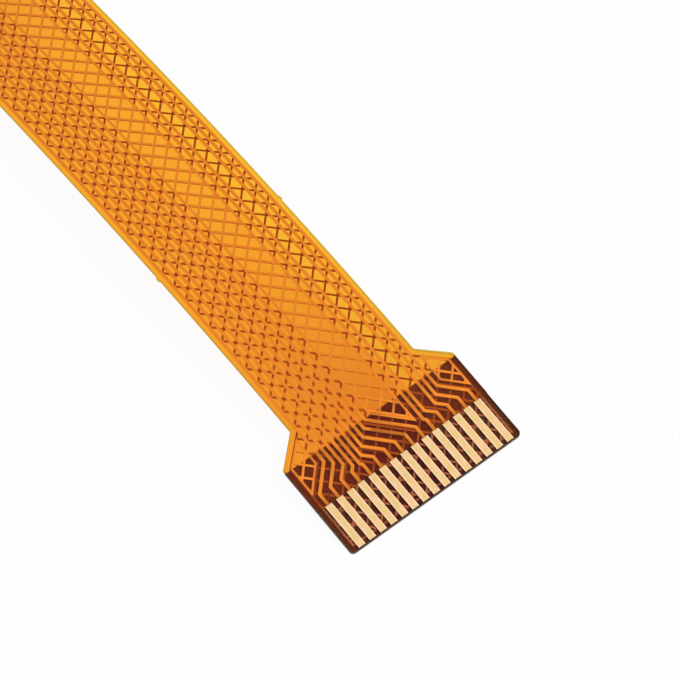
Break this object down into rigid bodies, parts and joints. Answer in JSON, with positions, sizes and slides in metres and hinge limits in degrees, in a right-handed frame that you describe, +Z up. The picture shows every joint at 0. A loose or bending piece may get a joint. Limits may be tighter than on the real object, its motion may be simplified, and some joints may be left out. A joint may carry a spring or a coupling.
{
  "type": "flat flex cable",
  "caption": "Thin amber flexible printed cable: a wide end of gold contacts fans in through slanted tracks to a narrow body over a hatched copper ground.",
  "frame": {"origin": "middle of the cable's footprint, on the surface that it lies on", "axes": "+X along the cable towards the wide end, +Y across it, +Z up, with the contacts upwards"},
  "size_m": [0.0728, 0.016, 0.0031],
  "materials": {
    "amber_film": "clear amber polyimide film, glossy",
    "copper": "etched copper foil",
    "gold_plated_copper": "etched copper foil, gold plated where it is bare",
    "stiffener": "dark laminate plate, satin"
  },
  "bodies": {
    "root": {"base_film": "amber_film", "top_coverlay": "amber_film", "back_coverlay": "amber_film", "stiffener_wide_end": "stiffener", "stiffener_narrow_end": "stiffener", "ground_mesh": "copper", "ground_fill_left": "copper", "ground_fill_middle": "copper", "ground_fill_right": "copper", "conductor_01": "gold_plated_copper", "conductor_02": "gold_plated_copper", "conductor_03": "gold_plated_copper", "conductor_04": "gold_plated_copper", "conductor_05": "gold_plated_copper", "conductor_06": "gold_plated_copper", "conductor_07": "gold_plated_copper", "conductor_08": "gold_plated_copper", "conductor_09": "gold_plated_copper", "conductor_10": "gold_plated_copper", "conductor_11": "gold_plated_copper", "conductor_12": "gold_plated_copper", "conductor_13": "gold_plated_copper", "conductor_14": "gold_plated_copper", "conductor_15": "gold_plated_copper", "spare_contact_19": "gold_plated_copper"}
  },
  "joints": []
}
